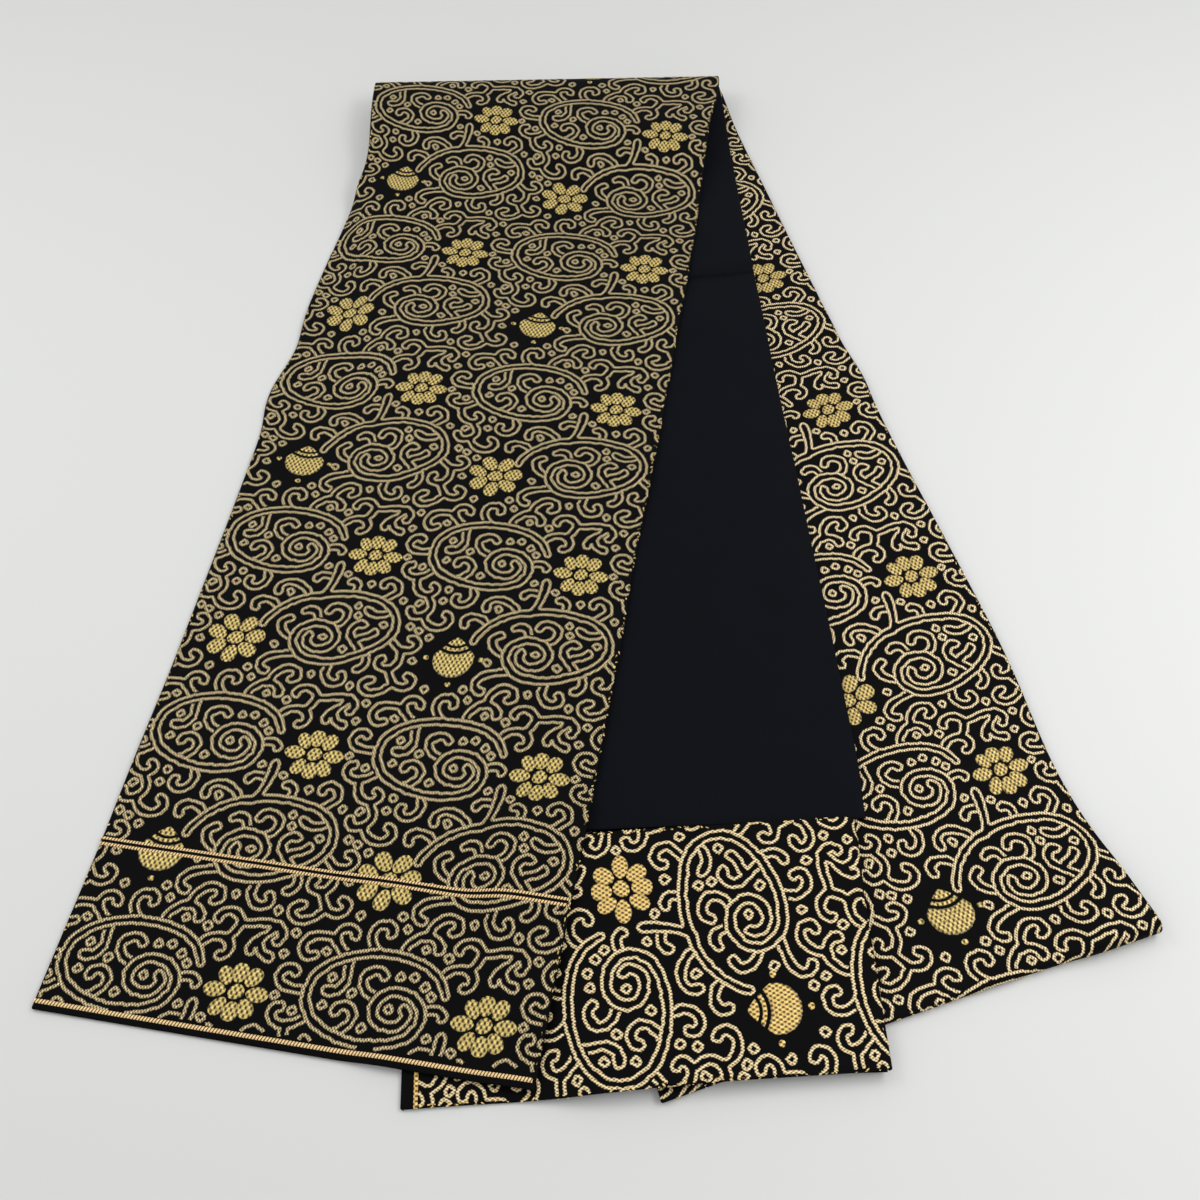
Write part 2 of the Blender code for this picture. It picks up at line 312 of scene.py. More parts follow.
class Heap:
    """How high the cloth lies so far, over each small square of the table."""

    SQUARE = 4.0
    SIDE = 1000.0

    def __init__(self):
        count = int(self.SIDE / self.SQUARE)
        self.top = np.zeros((count, count))

    def squares(self, points):
        """The squares that points fall in."""
        found = ((points[..., :2] + self.SIDE / 2) / self.SQUARE).astype(int)
        return found[..., 0], found[..., 1]

    def under(self, plan):
        """A soft level over everything below a stretch, for it to lie on."""
        level = widened(self.top, 1)[self.squares(plan)] + GAP
        level[level < 2 * GAP] = 0.0
        reach = 4
        return softened(widened(level, reach), reach)

    def add(self, plan, top):
        """Lays a stretch on the heap."""
        points = np.dstack([plan, top])
        for share_r in np.linspace(0.0, 1.0, 4):
            low = points[:-1] * (1 - share_r) + points[1:] * share_r
            for share_c in np.linspace(0.0, 1.0, 4):
                spot = low[:, :-1] * (1 - share_c) + low[:, 1:] * share_c
                np.maximum.at(self.top, self.squares(spot), spot[..., 2])


def shifted(grid, reach, axis):
    """The grid moved along an axis by each step within reach, its border values held."""
    framed = np.pad(grid, [(reach, reach) if a == axis else (0, 0) for a in (0, 1)], mode="edge")
    size = grid.shape[axis]
    return [framed.take(range(k, k + size), axis) for k in range(2 * reach + 1)]


def widened(grid, reach):
    """Each value becomes the highest one within reach of it."""
    for axis in (0, 1):
        grid = np.max(shifted(grid, reach, axis), axis=0)
    return grid


def softened(grid, reach):
    """Each value becomes the mean of those round it, weighted to the middle."""
    steps = range(-reach, reach + 1)
    weights = np.array([math.cos(math.pi / 2 * k / (reach + 1)) ** 2 for k in steps])
    weights /= weights.sum()
    for axis in (0, 1):
        grid = sum(weight * part for weight, part in zip(weights, shifted(grid, reach, axis)))
    return grid


# ---------------------------------------------------------------- one cloth as a grid of points


class Sheet:
    """The outer side of one cloth. Each edge may be turned round to a level, or rolled down."""

    def __init__(self, stretch, height, start=None, end=None, near=None, far=None, outward=1.0):
        self.stretch = stretch
        self.outward = outward
        main = np.dstack([stretch.plan, height])
        before, self.before_arc = self.carried(main[::-1], start)
        after, self.after_arc = self.carried(main, end)
        self.lead = len(before)
        rows = np.concatenate([before[::-1], main, after])
        self.side = ROLL_ROWS * 2 if near else 0
        self.near_arc = near[0] * near[1] / self.side if near else 1.0
        self.far_arc = far[0] * far[1] / (ROLL_ROWS * 2) if far else 1.0
        normals = self.normals_of(rows)
        columns = [rows]
        if near:
            columns.insert(0, self.rolled(rows[:, 0], rows[:, 0] - rows[:, 1], normals[:, 0], near))
        if far:
            far_columns = self.rolled(rows[:, -1], rows[:, -1] - rows[:, -2], normals[:, -1], far)
            columns.append(far_columns[:, ::-1])
        self.points = np.concatenate(columns, axis=1)
        self.normals = self.normals_of(self.points)
        self.strip = self.strip_places()

    def carried(self, main, edge):
        """Rows past the last one, and the arc from row to row at each column."""
        none = np.zeros((0, *main.shape[1:]))
        if edge is None:
            return none, np.ones(main.shape[1])
        last = main[-1]
        way = (last[-1] - last[0])[:2]
        out = np.array([-way[1], way[0]]) / np.linalg.norm(way)
        if out @ (last[0] - main[-2][0])[:2] < 0:
            out = -out
        kind, value = edge
        turning = kind == "turn"
        most, steps = (math.pi, TURN_ROWS) if turning else (math.pi / 2, ROLL_ROWS)
        angles = np.linspace(0.0, most, steps + 1)
        radius = (last[:, 2] - value) / 2 if turning else np.full(len(last), value)
        more = []
        for angle in angles[1:]:
            row = last.copy()
            row[:, :2] += np.outer(np.abs(radius) * math.sin(angle), out)
            row[:, 2] -= radius * (1 - math.cos(angle))
            more.append(row)
        return np.array(more), np.abs(radius) * angles[1] / self.stretch.scale

    def rolled(self, edge, outwards, normals, roll):
        """Columns past an edge, rolled down by an angle at a radius, from the last to the first."""
        radius, angle = roll
        outwards = outwards / np.linalg.norm(outwards, axis=1)[:, None]
        columns = []
        for turn in np.linspace(angle, 0.0, ROLL_ROWS * 2 + 1)[:-1]:
            down = normals * radius * (1 - math.cos(turn))
            columns.append(edge + outwards * radius * math.sin(turn) - down)
        return np.array(columns).transpose(1, 0, 2)

    def normals_of(self, points):
        """The outward direction at each point."""
        normals = np.cross(np.gradient(points, axis=1), np.gradient(points, axis=0))
        return self.outward * normals / np.maximum(np.linalg.norm(normals, axis=2), 1e-9)[..., None]

    def strip_places(self):
        """The place on the strip of each grid point."""
        s = self.stretch
        columns = self.points.shape[1]
        across = np.interp(np.arange(columns) - self.side, np.arange(len(s.across)), s.across)
        index = np.arange(columns) - self.side
        across += np.minimum(index, 0) * self.near_arc
        across += np.maximum(index - len(s.across) + 1, 0) * self.far_arc
        inside = np.clip(index, 0, len(s.across) - 1)
        rows = np.arange(self.points.shape[0]) - self.lead
        count = len(s.along)
        share = np.clip(rows / (count - 1), 0.0, 1.0)[:, None]
        along = s.begins[inside] + (s.ends - s.begins)[inside] * share
        along += np.minimum(rows, 0)[:, None] * self.before_arc[inside]
        along += np.maximum(rows - count + 1, 0)[:, None] * self.after_arc[inside]
        return np.dstack([np.broadcast_to(across, along.shape), along])

    def place(self, across, along, lift):
        """Points in space at woven places on the strip, lifted off the cloth."""
        s = self.stretch
        along = along + np.interp(along, s.drift[:, 0], s.drift[:, 1])
        width = s.across[-1] - s.across[0]
        start_slope = (s.begins[-1] - s.begins[0]) / width
        end_slope = (s.ends[-1] - s.ends[0]) / width
        start_long = math.hypot(1.0, start_slope)
        end_long = math.hypot(1.0, end_slope)
        before = s.begins[0] + start_slope * (across - s.across[0]) - along
        past = along - s.ends[0] - end_slope * (across - s.across[0])
        before = np.maximum(before, 0.0) / start_long
        past = np.maximum(past, 0.0) / end_long
        foot = across - before * start_slope / start_long + past * end_slope / end_long
        begin = s.begins[0] + start_slope * (foot - s.across[0])
        length = s.ends[0] + end_slope * (foot - s.across[0]) - begin
        count = len(s.along) - 1
        row = self.lead + np.clip((along - begin) / length, 0.0, 1.0) * count
        row = np.where(before > 0, self.lead - before / np.interp(foot, s.across, self.before_arc), row)
        row = np.where(past > 0, self.lead + count + past / np.interp(foot, s.across, self.after_arc), row)
        spacing = width / (len(s.across) - 1)
        column = self.side + np.clip(foot - s.across[0], 0.0, width) / spacing
        column -= np.maximum(s.across[0] - foot, 0.0) / self.near_arc
        column += np.maximum(foot - s.across[-1], 0.0) / self.far_arc
        row = np.clip(row, 0.0, self.points.shape[0] - 1.001)
        column = np.clip(column, 0.0, self.points.shape[1] - 1.001)
        r, c = row.astype(int), column.astype(int)
        fr, fc = (row - r)[..., None], (column - c)[..., None]
        found = []
        for grid in (self.points, self.normals):
            low = grid[r, c] * (1 - fc) + grid[r, c + 1] * fc
            high = grid[r + 1, c] * (1 - fc) + grid[r + 1, c + 1] * fc
            found.append(low * (1 - fr) + high * fr)
        return found[0] + found[1] * np.asarray(lift)[..., None]


def link(name, mesh, finish):
    """A piece of the sash, riding on its body."""
    mesh.materials.append(bpy.data.materials[finish])
    mesh.shade_smooth()
    made = bpy.data.objects.new(name, mesh)
    bpy.context.scene.collection.objects.link(made)
    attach(made, "root")
    return made


def mesh_of(name, points, faces, strip, rim=None):
    """A mesh with its strip places as a UV map in metres, and how far in from the rim each point is."""
    mesh = bpy.data.meshes.new(name)
    mesh.from_pydata((points * MM).tolist(), [], faces.tolist())
    corners = np.zeros(len(mesh.loops), dtype=np.int32)
    mesh.loops.foreach_get("vertex_index", corners)
    layer = mesh.uv_layers.new(name="strip")
    layer.data.foreach_set("uv", (strip[corners] * MM).ravel().astype(np.float32))
    if rim is not None:
        mesh.attributes.new("rim", "FLOAT", "POINT").data.foreach_set("value", rim.astype(np.float32))
    return mesh


def grid_faces(rows, columns, flip=False):
    """The faces of a grid of points."""
    index = np.arange(rows * columns).reshape(rows, columns)
    corners = [index[:-1, :-1], index[:-1, 1:], index[1:, 1:], index[1:, :-1]]
    faces = np.stack(corners, axis=-1).reshape(-1, 4)
    return faces[:, ::-1] if flip else faces


def cloth_piece(name, sheet, finish, node_name, thickness=CLOTH):
    """The cloth itself, in a CAD node's place: a thin wall, its outer side on the sheet's points."""
    rows, columns = sheet.points.shape[:2]
    faces = grid_faces(rows, columns, flip=sheet.outward < 0)
    mesh = mesh_of(name, sheet.points.reshape(-1, 3), faces, sheet.strip.reshape(-1, 2))
    made = link(name, mesh, finish)
    wall = made.modifiers.new("cloth", "SOLIDIFY")
    wall.thickness = thickness * MM
    wall.offset = -1.0
    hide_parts(node_name)


# ---------------------------------------------------------------- the woven scrolls


def gap_round(difference, period):
    """The shorter way round a repeat."""
    return (difference + period / 2) % period - period / 2


def bent_path(across, along, heading, bends, step):
    """Points and headings along a path, from its bend at each step."""
    turn = math.radians(heading) + np.radians(np.cumsum(bends * step) - bends * step / 2)
    moves = np.column_stack([np.cos(turn), np.sin(turn) * SQUEEZE]) * step
    points = np.cumsum(np.vstack([[(across, along)], moves]), axis=0)
    return points, np.append(turn, turn[-1])


class Scrolls:
    """The vines and curls in one cell, on grids that repeat.

    room is each point's distance from the nearest middle line, less what that line needs, and vines
    and curls are how far it lies outside their bands.
    """

    REACH = 22.0

    def __init__(self):
        self.size = (round(REPEAT_ALONG / FIELD_STEP), round(REPEAT_ACROSS / FIELD_STEP))
        self.across = np.arange(self.size[1]) * REPEAT_ACROSS / self.size[1]
        self.along = np.arange(self.size[0]) * REPEAT_ALONG / self.size[0]
        self.room = np.full(self.size, FAR)
        self.vines = np.full(self.size, FAR)
        self.curls = np.full(self.size, FAR)
        self.joints = np.zeros((0, 3))
        self.used = []

    def offsets(self, across, along):
        """How far each column and each row of the grids is from a place, the shorter way round."""
        return gap_round(self.across - across, REPEAT_ACROSS), gap_round(self.along - along, REPEAT_ALONG)

    def keep_off(self, across, along, radius):
        """Nothing grows within a radius of a motif."""
        dx, dy = self.offsets(across, along)
        self.room = np.minimum(self.room, np.hypot(dx[None, :], dy[:, None]) - radius + ROOM)

    def add(self, points, headings, outside, extra_room, shoots):
        """Adds a vine or a curl. Others may grow from it between two shares of its length."""
        halves = np.linspace(VINE_HALF, TIP_HALF, len(points))
        for (x, y), half in zip(points, halves):
            dx, dy = self.offsets(x, y)
            near = np.ix_(np.abs(dy) < self.REACH, np.abs(dx) < self.REACH)
            distance = np.hypot(dx[None, near[1][0]], dy[near[0][:, 0], None])
            self.room[near] = np.minimum(self.room[near], distance - extra_room)
            outside[near] = np.minimum(outside[near], distance - half)
        first, last = (int(share * len(points)) for share in shoots)
        joints = np.column_stack([points, headings])[first:max(last, first + 1):2]
        self.joints = np.vstack([self.joints, joints])

    def room_at(self, points):
        """How much room there is at points."""
        row = np.round(points[..., 1] / REPEAT_ALONG * self.size[0]).astype(int) % self.size[0]
        column = np.round(points[..., 0] / REPEAT_ACROSS * self.size[1]).astype(int) % self.size[1]
        return self.room[row, column]

    def crowded(self):
        """Which joints have a curl near them already."""
        found = np.zeros(len(self.joints), dtype=bool)
        for x, y in self.used:
            dx = gap_round(self.joints[:, 0] - x, REPEAT_ACROSS)
            dy = gap_round(self.joints[:, 1] - y, REPEAT_ALONG)
            found |= np.hypot(dx, dy) < CROWDED
        return found

    def grow_curl(self, length, chance):
        """Adds the curl of this length that best fits the room left, or says that none does."""
        best = None
        count = round(length / CURL_STEP)
        share = (np.arange(count) + 0.5) / count
        free = int(FREE_LENGTH / CURL_STEP)
        crowded = self.crowded()
        for root_bend, tip_bend, power, side, way, lean in CURL_SHAPES:
            bends = side * (root_bend + (tip_bend - root_bend) * share ** power)
            turn = np.radians(np.cumsum(bends) * CURL_STEP)
            if abs(turn[-1]) > math.radians(MOST_TURN):
                continue
            heading = self.joints[:, 2, None] + way * math.radians(lean) + np.append(0.0, turn[:-1])
            moves = np.dstack([np.cos(heading), np.sin(heading) * SQUEEZE]) * CURL_STEP
            points = self.joints[:, None, :2] + np.cumsum(moves, axis=1)
            room = self.room_at(points[:, free:])
            score = chance.random(len(room)) * 2 - room.mean(axis=1) - CROWDED_COST * crowded
            score += (side == way) + abs(math.degrees(turn[-1])) / 60
            score[room.min(axis=1) < ROOM] = -math.inf
            k = int(score.argmax())
            if score[k] > (best[0] if best else -math.inf):
                whole = np.vstack([self.joints[k, :2], points[k]])
                best = (score[k], whole, np.append(heading[k], heading[k, -1]))
        if best:
            self.add(best[1], best[2], self.curls, 0.0, CURL_SHOOTS)
            self.used.append(best[1][0])
        return best is not None

    def tie_knot(self):
        """Adds a knot where there is just room for one, or says that there is none."""
        row, column = np.unravel_index(np.argmax(self.room * (self.room < KNOT_REACH)), self.size)
        if self.room[row, column] < KNOT_ROOM:
            return False
        dx, dy = self.offsets(self.across[column], self.along[row])
        self.curls = np.minimum(self.curls, np.abs(dx)[None, :] + np.abs(dy)[:, None] - KNOT_HALF)
        self.room = np.minimum(self.room, np.hypot(dx[None, :], dy[:, None]))
        return True


CURL_SHAPES = [
    (root_bend, tip_bend, power, side, way, lean)
    for root_bend in (-4.0, 0.0, 3.0) for tip_bend in (10.0, 13.5) for power in (1.0, 2.0)
    for side in (1, -1) for way in (1, -1) for lean in (55.0, 80.0)
]


def scroll_field():
    """Grows one cell's scrolls: the main vines, then the largest curls that fit, down to buds."""
    work = Scrolls()
    for across, along, radius in MOTIF_ROOM:
        work.keep_off(across, along, radius)
    for vine in rows_of(VINE_COLUMNS, VINE_ROWS):
        spans = [np.linspace(low, high, round(length / VINE_STEP)) for length, low, high in vine["spans"]]
        bends = np.concatenate(spans)
        points, headings = bent_path(vine["across"], vine["along"], vine["heading"], bends, VINE_STEP)
        work.add(points, headings, work.vines, VINE_ROOM, VINE_SHOOTS)
    chance = np.random.default_rng(SCROLL_SEED)
    for length in CURL_LENGTHS:
        while work.grow_curl(length, chance):
            pass
    while work.tie_knot():
        pass
    return work.vines, np.maximum(work.curls, -work.vines)


def crossing_loops(field):
    """Closed loops along the field's zero, in grid steps. A loop may end a whole cell from its start."""
    rows, columns = field.shape
    inside = field < 0
    where, beside = {}, {}
    for axis in (0, 1):
        ahead = np.roll(field, -1, axis)
        crossed = inside != np.roll(inside, -1, axis)
        for r, c in zip(*np.nonzero(crossed)):
            share = field[r, c] / (field[r, c] - ahead[r, c])
            where[axis, r, c] = (r + share * (axis == 0), c + share * (axis == 1))
            beside[axis, r, c] = []
    for r in range(rows):
        for c in range(columns):
            r2, c2 = (r + 1) % rows, (c + 1) % columns
            round_it = [k for k in ((1, r, c), (0, r, c2), (1, r2, c), (0, r, c)) if k in where]
            if len(round_it) == 4 and not inside[r, c]:
                round_it = round_it[1:] + round_it[:1]
            for one, two in zip(round_it[::2], round_it[1::2]):
                beside[one].append(two)
                beside[two].append(one)
    size = np.array([rows, columns])
    loops, seen = [], set()
    for first in where:
        if first in seen:
            continue
        loop, before, at = [np.array(where[first])], None, first
        while True:
            seen.add(at)
            onward = [k for k in beside[at] if k != before] or beside[at]
            before, at = at, onward[0]
            step = (np.array(where[at]) - loop[-1] + size / 2) % size - size / 2
            loop.append(loop[-1] + step)
            if at == first or at in seen:
                break
        loops.append(np.array(loop))
    return loops


def eased(loop, times):
    """A closed loop with its small steps smoothed out."""
    for _ in range(times):
        loop = (np.roll(loop, 1, 0) + 2 * loop + np.roll(loop, -1, 0)) / 4
    return loop


def scroll_lines(field, kept):
    """The scrolls' outlines in one cell, where they pass over kept: eased lines with sideways directions."""
    chance = np.random.default_rng(WOBBLE_SEED)
    spacing = np.array([REPEAT_ALONG / field.shape[0], REPEAT_ACROSS / field.shape[1]])
    lines = []
    for loop in crossing_loops(field):
        points = (loop * spacing)[:, ::-1]
        shift = points[-1] - points[0]
        lengths = np.linalg.norm(np.diff(points, axis=0), axis=1)
        total = lengths.sum()
        if total < SHORTEST_LINE:
            continue
        count = max(8, int(total / LINE_STEP))
        at = np.linspace(0.0, total, count + 1)
        run = np.concatenate([[0.0], np.cumsum(lengths)])
        even = np.column_stack([np.interp(at, run, points[:, k]) for k in (0, 1)])
        drift = np.linspace(0.0, 1.0, count + 1)[:, None] * shift
        loose = (even - drift)[:-1]
        loose = eased(loose, 3)
        loose += eased(chance.normal(0.0, 1.0, loose.shape), 4) * WOBBLE
        even = np.vstack([loose, loose[:1]]) + drift
        forward = np.roll(loose, -1, 0) - np.roll(loose, 1, 0)
        forward = np.vstack([forward, forward[:1]]) + 2 * shift / count
        heading = np.unwrap(np.arctan2(forward[:, 1], forward[:, 0]))
        keep, last = [0], 0
        for k in range(1, count):
            turned = abs(heading[k] - heading[last])
            span = (k - last) * LINE_STEP
            if span > LONG_SPAN or (span > SHORT_SPAN and turned > SPAN_TURN):
                keep.append(k)
                last = k
        keep.append(count)
        sideways = np.column_stack([-np.sin(heading), np.cos(heading)])
        square = np.round(even[keep] / spacing[::-1]).astype(int)
        shown = kept[square[:, 1] % kept.shape[0], square[:, 0] % kept.shape[1]]
        for begin, stop in runs_of(shown):
            if stop - begin > 2:
                lines.append((even[keep][begin:stop], sideways[keep][begin:stop]))
    return lines


def runs_of(flags):
    """Where each unbroken run of true flags begins and stops."""
    edges = np.flatnonzero(np.diff(np.concatenate([[0], flags.astype(int), [0]])))
    return zip(edges[::2], edges[1::2])


def lines_on(lines, origin, limits):
    """The repeat laid over a part of the strip, as lines cut at its limits."""
    low_across, high_across, low_along, high_along = limits
    cell = np.array([REPEAT_ACROSS, REPEAT_ALONG])
    laid = []
    for points, sideways in lines:
        reach_low, reach_high = points.min(axis=0), points.max(axis=0)
        first = np.floor((np.array([low_across, low_along]) - origin - reach_high) / cell)
        last = np.ceil((np.array([high_across, high_along]) - origin - reach_low) / cell)
        for a in range(int(first[0]), int(last[0]) + 1):
            for b in range(int(first[1]), int(last[1]) + 1):
                moved = points + origin + (a * REPEAT_ACROSS, b * REPEAT_ALONG)
                inside = (moved[:, 0] > low_across) & (moved[:, 0] < high_across)
                inside &= (moved[:, 1] > low_along) & (moved[:, 1] < high_along)
                for begin, stop in runs_of(inside):
                    if stop - begin > 2:
                        laid.append((moved[begin:stop], sideways[begin:stop]))
    return laid


ROUND_TOP = ((-1.0, 0.0), (0.0, 1.0), (1.0, 0.0))
FLAT_TOP = ((-1.0, 0.0), (-0.8, 1.0), (0.8, 1.0), (1.0, 0.0))


def ribbon_arrays(sheet, laid, half, rise, section=ROUND_TOP):
    """Raised ribbons along lines: points, faces, strip places and rim values."""
    points = np.vstack([p for p, _ in laid])
    sideways = np.vstack([s for _, s in laid])
    sizes = np.array([len(p) for p, _ in laid])
    offsets, tops = np.array(section).T
    strip = points[:, None, :] + sideways[:, None, :] * offsets[None, :, None] * half
    lift = np.broadcast_to(tops * (rise + SINK) - SINK, strip.shape[:2])
    placed = sheet.place(strip[..., 0], strip[..., 1], lift)
    index = np.arange(len(points))
    ends = np.cumsum(sizes) - 1
    joined = np.setdiff1d(index[:-1], ends)
    wide = len(section)
    faces = []
    for k in range(wide - 1):
        a = joined * wide + k
        quad = [a, a + 1, a + wide + 1, a + wide]
        faces.append(np.stack(quad[::-1] if sheet.outward > 0 else quad, axis=-1))
    rim = np.tile(tops, len(points))
    return placed.reshape(-1, 3), np.vstack(faces), strip.reshape(-1, 2), rim


# ---------------------------------------------------------------- flowers and jewels
# Each patch of gold is two rails, from one end to the other.


def petal(middle, angle, length, width, point=0.0):
    """A petal about its own middle, its tip rounded or drawn to a point."""
    share = np.linspace(0.0, 1.0, 10)
    along = -np.cos(math.pi * share) * length / 2
    swell = 1.0 + 0.22 * (share - 0.5) * 2 * (1 - point)
    half = width / 2 * np.sin(math.pi * share) ** (0.9 + point) * swell
    c, s = math.cos(angle), math.sin(angle)
    rails = []
    for side in (-1, 1):
        x, y = along, half * side
        rails.append(np.column_stack([middle[0] + x * c - y * s, middle[1] + x * s + y * c]))
    return rails


def ring_place(angle_deg, reach):
    """A place round a motif's middle, and the way out from it."""
    angle = math.radians(angle_deg)
    return (reach * math.cos(angle), reach * 0.95 * math.sin(angle)), angle


PETAL_COLUMNS = ("angle", "turn", "reach", "length", "width", "point")
PETAL_ROWS = (
    (0, 0, 13.4, 14.6, 10.6, 0.35),
    (180, 0, 13.4, 14.6, 10.6, 0.35),
    (52, 10, 13.4, 13.0, 10.6, 0.0),
    (94, -8, 12.6, 12.6, 11.0, 0.0),
    (133, -14, 13.2, 12.6, 9.4, 0.1),
    (232, 10, 13.4, 13.0, 9.6, 0.1),
    (272, -6, 12.8, 12.8, 10.8, 0.0),
    (312, -10, 13.2, 13.0, 10.6, 0.0),
)


def pointed_flower():
    """Eight petals round a square middle: a pointed one to each side, and pairs that lean together."""
    made = [petal((0.0, 0.0), math.pi / 4, 10.6, 9.8)]
    for row in rows_of(PETAL_COLUMNS, PETAL_ROWS):
        middle, out = ring_place(row["angle"], row["reach"])
        made.append(petal(middle, out + math.radians(row["turn"]), row["length"], row["width"], row["point"]))
    return made


def round_flower():
    """Seven broad petals, close together, round a middle."""
    made = [petal((0.0, 0.0), 0.4, 12.0, 11.0)]
    for k, width in enumerate((12.0, 11.2, 11.8, 11.3, 12.2, 11.2, 11.6)):
        middle, out = ring_place(360 / 7 * k + 12, 14.0)
        made.append(petal(middle, out + 0.2 * (-1) ** k, 14.6, width))
    return made


def jewel():
    """A jewel like an onion, cut by two hanging stripes into three, with three dots round it."""
    widest, shoulder, tip, foot = 15.3, 4.0, 17.8, -14.4

    def half_width(rise):
        if rise < shoulder:
            return widest * math.sqrt(max(0.0, 1 - ((rise - 0.4) / (foot - 0.4)) ** 2))
        return 14.9 * ((tip - rise) / (tip - shoulder)) ** 0.82

    def stripe(height, sag):
        reach = half_width(height + sag)
        return np.array([(reach * k, height + sag * k * k) for k in np.linspace(-1.0, 1.0, 12)])

    def outline(low, high):
        rises = np.linspace(high, low, 30)
        left = [(-half_width(rise), rise) for rise in rises]
        right = [(half_width(rise), rise) for rise in rises[::-1]]
        whole = np.array(left + right)
        run = np.append(0.0, np.cumsum(np.linalg.norm(np.diff(whole, axis=0), axis=1)))
        at = np.linspace(0.0, run[-1], 12)
        return np.column_stack([np.interp(at, run, whole[:, k]) for k in (0, 1)])

    made = [
        [outline(foot, 4.6 + 3.0), stripe(4.6, 3.0)],
        [stripe(6.1, 3.0), stripe(8.9, 2.4)],
        [stripe(10.4, 2.2), outline(tip, 10.4 + 2.2)],
    ]
    for spot in ((-20.0, 0.5), (20.0, 0.5), (0.0, -19.0)):
        made.append(petal(spot, 0.0, 4.3, 4.1))
    return made


def motifs_on(origin, limits):
    """The flowers and jewels that stand within limits, as rails on the strip."""
    low_across, high_across, low_along, high_along = limits
    patches = []
    margin = 8.0
    round_shift = -4.0
    for row in range(-4, 14):
        for column in range(-2, 4):
            across = origin[0] + REPEAT_ACROSS * (column + 0.5 * (row % 2))
            along = origin[1] + REPEAT_ALONG / 2 * row
            if not low_across - margin < across < high_across + margin:
                continue
            if not low_along - margin < along < high_along + margin:
                continue
            if row % 2 == 0:
                shapes = pointed_flower()
            elif (row // 2 + column) % 2 == 1:
                shapes = jewel()
            else:
                shapes = round_flower()
                across += round_shift
            patches += [[rail + (across, along) for rail in rails] for rails in shapes]
    return patches


def patch_arrays(sheet, patches, rise):
    """Filled gold patches, each a little domed between its rails. Wide ones follow the cloth closely."""
    points, faces, strips, rims = [], [], [], []
    start = 0
    for one, other in patches:
        count = len(one)
        wide = np.linalg.norm(other - one, axis=1).max() > WIDE_PATCH
        shares = np.array(WIDE_SHARES if wide else NARROW_SHARES)
        strip = one[:, None] * (1 - shares[:, None]) + other[:, None] * shares[:, None]
        end = np.ones(count)
        end[[0, -1]] = 0.0
        dome = (1.0 - np.abs(2 * shares - 1) ** 5) * end[:, None]
        points.append(sheet.place(strip[..., 0], strip[..., 1], dome * rise - SINK).reshape(-1, 3))
        strips.append(strip.reshape(-1, 2))
        rims.append(dome.ravel())
        faces.append(grid_faces(count, len(shares)) + start)
        start += count * len(shares)
    return np.vstack(points), np.vstack(faces), np.vstack(strips), np.concatenate(rims)


def cross_band(stretch, from_start, from_end):
    """A line straight across a stretch, at a distance from its start or its end."""
    across = np.arange(stretch.across[0] - 1.0, stretch.across[-1] + 1.0, 2.5)
    if from_end is None:
        along = np.interp(across, stretch.across, stretch.begins) + from_start
    else:
        along = np.interp(across, stretch.across, stretch.ends) - from_end
    return np.column_stack([across, along]), np.tile([0.0, 1.0], (len(across), 1))


def edge_stitches(stretch, chance):
    """Short flecks of gold where the weft turns round the edges of the cloth."""
    flecks = []
    for edge, way in ((stretch.across[0], -1), (stretch.across[-1], 1)):
        along = stretch.begins.min() + 14.0
        while along < stretch.ends.max() - 6.0:
            middle = (edge + way * chance.uniform(-0.9, 0.9), along)
            turn, length, width = (chance.uniform(*sizes) for sizes in ((0.5, 2.6), (1.6, 3.2), (0.8, 1.3)))
            flecks.append(petal(middle, turn, length, width))
            along += chance.choice([2.4, 3.2, 4.6, 9.0, 17.0])
    return flecks


# ---------------------------------------------------------------- materials


GROUND, BACK = "black_twill_ground", "black_twill_back"
BLACK_SILK = "040406"
LADDER_SILK, LADDER_TIE = "08080a", "3a2c18"

# The gilt wefts. It is one gilt thread, but each stretch has its own copy with its own colours, a painted
# brightness for how the light catches that stretch. A motif's thread lies in long floats and a line's in
# short ones (millimetres); deep is the thread's shade, and tie what holds it, which also gives the painted
# shade at the rims of the gold.
WEFT_COLUMNS = ("name", "bright", "deep", "tie", "roughness", "metal", "float_length", "two_rows")
WEFT_ROWS = (
    ("gilt_weft_tare", "f0da88", "a48840", "302204", 0.5, 0.4, 3.4, 5.2),
    ("gilt_weft_tare_line", "f0dcaa", "b4a074", "4c3c1a", 0.5, 0.4, 1.9, 3.0),
    ("gilt_weft_side", "f4dc8c", "a08034", "3c2c06", 0.47, 0.3, 3.1, 4.8),
    ("gilt_weft_side_line", "fff0c8", "ecd6a4", "7c6030", 0.47, 0.25, 1.9, 3.0),
    ("gilt_weft_hand", "ffe08c", "cea44a", "503a0c", 0.42, 0.2, 2.8, 4.2),
    ("gilt_weft_hand_line", "fff0c6", "f4dea8", "886a34", 0.42, 0.2, 1.9, 3.0),
)


def linear(colour):
    """An sRGB hex colour as linear values."""
    values = [int(colour[k:k + 2], 16) / 255 for k in (0, 2, 4)]
    return [v / 12.92 if v <= 0.04045 else ((v + 0.055) / 1.055) ** 2.4 for v in values] + [1.0]


def node(tree, kind, settings=(), **links):
    """Adds a node with its settings, and links its inputs by name, or by number as i0, i1.

    A link comes from a socket, or from a node's first output.
    """
    made = tree.nodes.new("ShaderNode" + kind)
    for key, value in dict(settings).items():
        if isinstance(key, int) or key in made.inputs:
            made.inputs[key].default_value = value
        else:
            setattr(made, key, value)
    for key, source in links.items():
        socket = int(key[1:]) if key[:1] == "i" and key[1:].isdigit() else key.replace("_", " ")
        output = source.outputs[0] if isinstance(source, bpy.types.Node) else source
        tree.links.new(output, made.inputs[socket])
    return made


